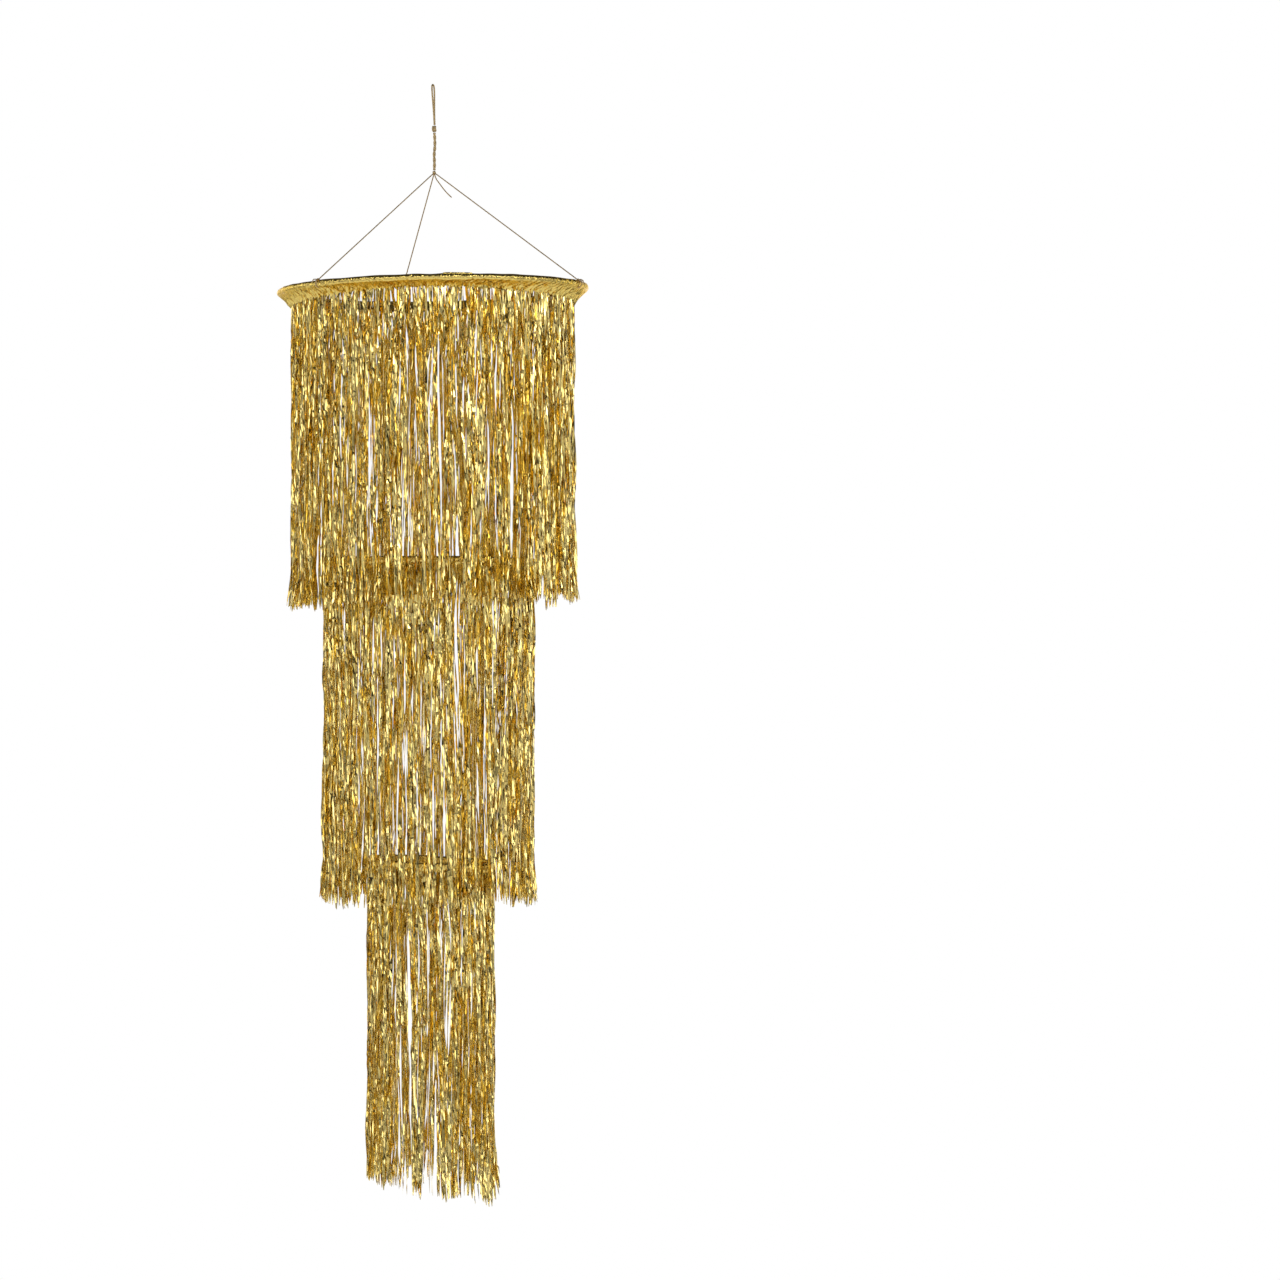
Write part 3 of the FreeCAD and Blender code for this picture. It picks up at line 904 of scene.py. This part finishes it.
rng = np.random.default_rng(5)
plies = {name: fringe(tier, rng) for name, tier in tiers.items()}

# %% [markdown]
# ## Writing finishes as sums
# A finish is a small program of nodes. To keep it readable, a number that varies over a surface is
# wrapped in a class on which + - * / can be written, and every other node comes from one method.

# %% A readable way to write nodes
class Signal:
    """A number that varies over a surface."""

    def __init__(self, finish, socket):
        self.finish = finish
        self.socket = socket

    def __add__(self, other):
        return self.finish.calculate("ADD", self, other)

    def __radd__(self, other):
        return self.finish.calculate("ADD", other, self)

    def __sub__(self, other):
        return self.finish.calculate("SUBTRACT", self, other)

    def __rsub__(self, other):
        return self.finish.calculate("SUBTRACT", other, self)

    def __mul__(self, other):
        return self.finish.calculate("MULTIPLY", self, other)

    def __rmul__(self, other):
        return self.finish.calculate("MULTIPLY", other, self)

    def __truediv__(self, other):
        return self.finish.calculate("DIVIDE", self, other)

    def __rtruediv__(self, other):
        return self.finish.calculate("DIVIDE", other, self)


class Finish:
    """The nodes of a material or of the world, added one by one."""

    def __init__(self, owner):
        owner.use_nodes = True
        self.tree = owner.node_tree
        self.tree.nodes.clear()

    def node(self, kind, settings=None, inputs=None):
        """A node of a kind, with its settings first, then values or links."""
        made = self.tree.nodes.new(kind)
        for name, value in (settings or {}).items():
            setattr(made, name, value)
        for name, value in (inputs or {}).items():
            self.feed(made.inputs[name], value)
        return made

    def feed(self, target, value):
        if isinstance(value, Signal):
            self.tree.links.new(value.socket, target)
        elif isinstance(value, bpy.types.NodeSocket):
            self.tree.links.new(value, target)
        else:
            target.default_value = value

    def signal(self, kind, settings=None, inputs=None, output=0):
        """The same, as a number to go on with."""
        return Signal(self, self.node(kind, settings, inputs).outputs[output])

    def calculate(self, operation, *values):
        """A sum, a product or another calculation with one number or two."""
        return self.signal("ShaderNodeMath", {"operation": operation}, dict(enumerate(values)))

    def noise(self, where, detail):
        """Smooth noise from about 0 to 1, whose patches are about one unit of the place wide."""
        inputs = {"Vector": where, "Scale": 1.0, "Detail": detail}
        return self.signal("ShaderNodeTexNoise", {"noise_dimensions": "2D"}, inputs)

    def ramp(self, value, low, high, at_low, at_high, shape="SMOOTHSTEP"):
        """A number that goes from one value to another while its source goes from low to high."""
        inputs = dict(enumerate((value, low, high, at_low, at_high)))
        return self.signal("ShaderNodeMapRange", {"interpolation_type": shape}, inputs)

    def mix(self, share, first, second):
        """Two colours mixed by a share."""
        made = self.node("ShaderNodeMix", {"data_type": "RGBA"}, {0: share, 6: first, 7: second})
        return made.outputs[2]

    def split(self, vector):
        made = self.node("ShaderNodeSeparateXYZ", None, {0: vector})
        return [Signal(self, output) for output in made.outputs]

    def join(self, x, y):
        return self.node("ShaderNodeCombineXYZ", None, {0: x, 1: y}).outputs[0]

    def lay(self):
        """The two numbers of the map that follows a strip, a header or a cord."""
        return self.split(self.node("ShaderNodeUVMap", {"uv_map": LAY_MAP}).outputs[0])[:2]

    def surface(self, relief, strength, inputs):
        """Ends a material: one shader with its inputs, over a relief in metres."""
        bump_inputs = {"Strength": strength, "Distance": 1.0, "Height": relief}
        bump = self.node("ShaderNodeBump", None, bump_inputs)
        shader = self.node("ShaderNodeBsdfPrincipled", None, {**inputs, "Normal": bump.outputs[0]})
        self.node("ShaderNodeOutputMaterial", None, {0: shader.outputs[0]})


def finish_of(name, pieces, recipe):
    """A material made by a recipe of nodes, given to pieces."""
    material = bpy.data.materials.new(name)
    recipe(Finish(material))
    for piece in pieces:
        piece.data.materials.append(material)
    print(f"{name}: {len(material.node_tree.nodes)} nodes on {len(pieces)} pieces")


print("sums of signals are written with + - * /")

# %% [markdown]
# ## Foil
# The film is plastic with a whisper of aluminium on it under yellow lacquer. So it is a mirror that
# tints what it reflects, under a thin clear coat that adds a white glint. Each strip has its own
# fine creases across it, its own shade, and a pale line where the blade cut through the lacquer.

# %% Finish of the strips
FOIL_GOLD = (0.92, 0.74, 0.27, 1)
FOIL_DEEP = (0.89, 0.685, 0.21, 1)
FOIL_CUT = (0.93, 0.86, 0.66, 1)
FOLD_RELIEF = 0.2 * MM
CURL_RELIEF = 1.6 * MM


def foil_strips(finish):
    across_all, depth = finish.lay()
    number = finish.calculate("FLOOR", across_all)
    across = across_all - number
    own = finish.signal("ShaderNodeTexWhiteNoise", {"noise_dimensions": "1D"}, {"W": number})
    along = depth * 1000 + own * 900
    wander = finish.noise(finish.join(along * 0.09, own * 50), 1.0)
    patch = finish.noise(finish.join(along * 0.03, own * 80), 0.0)
    folds = finish.calculate("PINGPONG", along * 0.085 + wander * 4 + across * 0.35, 1.0)
    creased = finish.ramp(patch, 0.38, 0.66, 0.12, 1.0)
    settles = finish.ramp(depth, 0.006, 0.05, 0.12, 1.0)
    edge = finish.calculate("PINGPONG", across, 0.5)
    curl = finish.noise(finish.join(along * 0.02, own * 37), 1.0)
    relief = folds * creased * settles * FOLD_RELIEF + edge * (curl - 0.5) * CURL_RELIEF
    cut = finish.ramp(edge, 0.03, 0.07, 0.7, 0.0, "LINEAR")
    shader = {
        "Base Color": finish.mix(cut, finish.mix(own, FOIL_GOLD, FOIL_DEEP), FOIL_CUT),
        "Metallic": 1.0,
        "Roughness": 0.06 + patch * 0.12,
        "Coat Weight": 0.1,
        "Coat Roughness": 0.07,
    }
    finish.surface(relief, 1.0, shader)


finish_of("foil_strips", [piece for pair in plies.values() for piece in pair], foil_strips)

# %% [markdown]
# ## Header foil
# The header is the same film, doubled and heat-sealed into one surface. It keeps its gold even
# where it is seen edge-on, and fine slanting crinkles cross it.

# %% Finish of the headers
HEADER_GOLD = (0.93, 0.72, 0.22, 1)
HEADER_DEEP = (0.86, 0.63, 0.17, 1)
HEADER_EDGE = (1, 0.78, 0.35, 1)
CRINKLE_RELIEF = 2.6 * MM


def foil_header(finish):
    around, run = finish.lay()
    crinkle = finish.noise(finish.join(around * 160 + run * 90, run * 60), 3.0)
    haze = finish.noise(finish.join(around * 40, run * 25), 2.0)
    shader = {
        "Base Color": finish.mix(haze, HEADER_GOLD, HEADER_DEEP),
        "Metallic": 1.0,
        "Roughness": 0.07 + haze * 0.1,
        "Specular Tint": HEADER_EDGE,
        "Coat Weight": 0.05,
        "Coat Roughness": 0.1,
    }
    finish.surface(crinkle * CRINKLE_RELIEF, 1.0, shader)


finish_of("foil_header", list(headers.values()), foil_header)

# %% [markdown]
# ## Cord and wire
# The yarns are flat metallic threads wound on a dull core. Along its lay the cord's colour turns from
# pale gold to the dark core in short patches, partly the threads and partly a painted glint. The hoop is
# drawn steel, dull along its length.

# %% Finish of the cords
# Pale yarn gold, partly a painted glint, and the darker core
YARN_GOLD = (0.74, 0.55, 0.28, 1)
YARN_CORE = (0.50, 0.35, 0.16, 1)
THREAD_RELIEF = 0.05 * MM


def metallic_cord(finish):
    around, run = finish.lay()
    thread = finish.calculate("SINE", around * 75.4 + run * 9000)
    # Painted glint: short patches where the cord is a paler and smoother gold, partly the threads over the
    # core
    thread_and_painted_glint = finish.noise(finish.join(around * 14, run * 1400), 1.0)
    shader = {
        "Base Color": finish.mix(thread_and_painted_glint, YARN_GOLD, YARN_CORE),
        "Metallic": 0.5,
        "Roughness": 0.3 + thread_and_painted_glint * 0.3,
    }
    finish.surface(thread * THREAD_RELIEF, 0.6, shader)


finish_of("metallic_cord", cords + knots, metallic_cord)


# %% Finish of the hoops
STEEL_DARK = (0.5, 0.5, 0.52, 1)
STEEL_PALE = (0.66, 0.66, 0.68, 1)
DRAW_RELIEF = 0.04 * MM


def drawn_steel(finish):
    around, run = finish.lay()
    lines = finish.noise(finish.join(around * 60, run * 12), 2.0)
    shader = {
        "Base Color": finish.mix(lines, STEEL_DARK, STEEL_PALE),
        "Metallic": 1.0,
        "Roughness": 0.25 + lines * 0.25,
    }
    finish.surface(lines * DRAW_RELIEF, 0.3, shader)


finish_of("drawn_steel", hoops, drawn_steel)

# %% [markdown]
# ## Studio
# Foil has almost no colour of its own: it shows the room. A plain white room would make it flat
# and pale. So the room is mottled from black to a mid tone, with tall soft lights round it, a
# bright wall behind the camera, and a dark ceiling that puts the brown line on the rim. What is
# seen directly stays plain white.

# %% Light the room
SOFT_LIGHTS = [
    # degrees to the right of the camera's side, half width, lowest and highest height, strength
    (-58, 4.0, -0.25, 0.45, 2.2),
    (-21, 2.5, -0.15, 0.4, 1.7),
    (18, 2.5, -0.3, 0.3, 1.9),
    (-2, 38, -0.44, -0.25, 1.3),
    (49, 4.0, -0.2, 0.5, 2.2),
    (104, 5.0, -0.3, 0.4, 1.9),
    (-112, 5.0, -0.3, 0.5, 1.9),
]
ROOM_WHITE = (1, 0.985, 0.95, 1)
PLAIN_WHITE = (1, 1, 1, 1)


def studio(finish):
    way = finish.node("ShaderNodeTexCoord").outputs["Generated"]
    x, y, z = finish.split(way)
    azimuth = finish.calculate("ARCTAN2", x, -1 * y)
    mottle = finish.signal("ShaderNodeTexNoise", None, {"Vector": way, "Scale": 3.2, "Detail": 2.0})
    ceiling = finish.ramp(z, 0.12, 0.36, 1.0, 0.12)
    behind = finish.ramp(-1 * y, -0.72, -0.9, 0.0, 0.75)
    level = finish.ramp(mottle, 0.37, 0.59, 0.0, 0.68) * ceiling + behind * ceiling
    for degrees, half_width, low, high, strength in SOFT_LIGHTS:
        gap = finish.calculate("ABSOLUTE", azimuth - math.radians(degrees))
        inside = finish.calculate("LESS_THAN", gap, math.radians(half_width))
        above = finish.calculate("GREATER_THAN", z, low)
        below = finish.calculate("LESS_THAN", z, high)
        level = level + inside * above * below * strength
    seen = finish.signal("ShaderNodeLightPath", output="Is Camera Ray")
    room = finish.node("ShaderNodeBackground", None, {"Color": ROOM_WHITE, "Strength": level})
    plain = finish.node("ShaderNodeBackground", None, {"Color": PLAIN_WHITE, "Strength": 1.0})
    both = finish.node("ShaderNodeMixShader", None, {0: seen, 1: room.outputs[0], 2: plain.outputs[0]})
    finish.node("ShaderNodeOutputWorld", None, {0: both.outputs[0]})


def soft_light(name, place, aim, size, power):
    light = bpy.data.lights.new(name, "AREA")
    light.size = size
    light.energy = power
    lamp = bpy.data.objects.new(name, light)
    lamp.location = place
    lamp.rotation_euler = (Vector(aim) - Vector(place)).to_track_quat("-Z", "Y").to_euler()
    lamp.visible_camera = False
    scene.collection.objects.link(lamp)


scene.world = bpy.data.worlds.new("studio")
studio(Finish(scene.world))
middle = Vector((0, 0, -0.6))
soft_light("soft_left", (-2.2, -3.0, 1.2), middle, 1.0, 12)
soft_light("soft_right", (2.6, -2.4, 0.6), middle, 0.8, 8)
print(len(SOFT_LIGHTS), "soft lights in the room and 2 lamps")

# %% [markdown]
# ## Floor
# The chandelier hangs high over a pale floor, too low to show from the front. The headers face
# down a little and mirror it, so a pool of light is painted on it: the floor glows by itself,
# brightest under the chandelier and fading outwards. Seen directly it is plain and pale.

# %% Lay the floor
FLOOR_Z = -2.4
FLOOR_REACH = 6.0
# Painted pool of light: the floor's own glow is bright out to the first radius and dim past the second, in
# metres
PAINTED_POOL_FROM, PAINTED_POOL_TO = 2.9, 5.2
FLOOR_PALE = (0.86, 0.86, 0.85, 1)
PAINTED_POOL_BRIGHT = (1, 1, 0.98, 1)
PAINTED_POOL_EDGE = (0.12, 0.12, 0.12, 1)
FLOOR_SEEN = (1.2, 1.2, 1.19, 1)


def floor_with_painted_pool(finish):
    where = finish.node("ShaderNodeTexCoord").outputs["Object"]
    length = {"operation": "LENGTH"}
    away = finish.signal("ShaderNodeVectorMath", length, {0: where}, output="Value")
    # Painted pool of light: a glow that fades from bright near the middle to dim at the edge
    painted_pool = finish.ramp(away, PAINTED_POOL_FROM, PAINTED_POOL_TO, 0.0, 1.0)
    seen = finish.signal("ShaderNodeLightPath", output="Is Camera Ray")
    # To the camera the floor glows an even pale; in reflections it shows the painted pool of light
    painted_glow = finish.mix(seen, finish.mix(painted_pool, PAINTED_POOL_BRIGHT, PAINTED_POOL_EDGE), FLOOR_SEEN)
    inputs = {"Base Color": FLOOR_PALE, "Roughness": 0.8, "Emission Color": painted_glow, "Emission Strength": 0.66}
    shader = finish.node("ShaderNodeBsdfPrincipled", None, inputs)
    finish.node("ShaderNodeOutputMaterial", None, {0: shader.outputs[0]})


floor_mesh = bpy.data.meshes.new("floor")
corners = [(-1, -1), (1, -1), (1, 1), (-1, 1)]
corners = [(x * FLOOR_REACH, y * FLOOR_REACH, FLOOR_Z) for x, y in corners]
floor_mesh.from_pydata(corners, [], [(0, 1, 2, 3)])
floor = bpy.data.objects.new("floor", floor_mesh)
scene.collection.objects.link(floor)
finish_of("pale_floor", [floor], floor_with_painted_pool)
floor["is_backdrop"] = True

# %% [markdown]
# ## Sizes at the end
# Creases and flares may stand a little proud of the solids, but not change the chandelier's size.

# %% Write both boxes and finish
made_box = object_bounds()
boxes = {"cad": cad_box, "made": made_box}
for name, box in boxes.items():
    print(name, [[round(value / MM, 1) for value in corner] for corner in box])
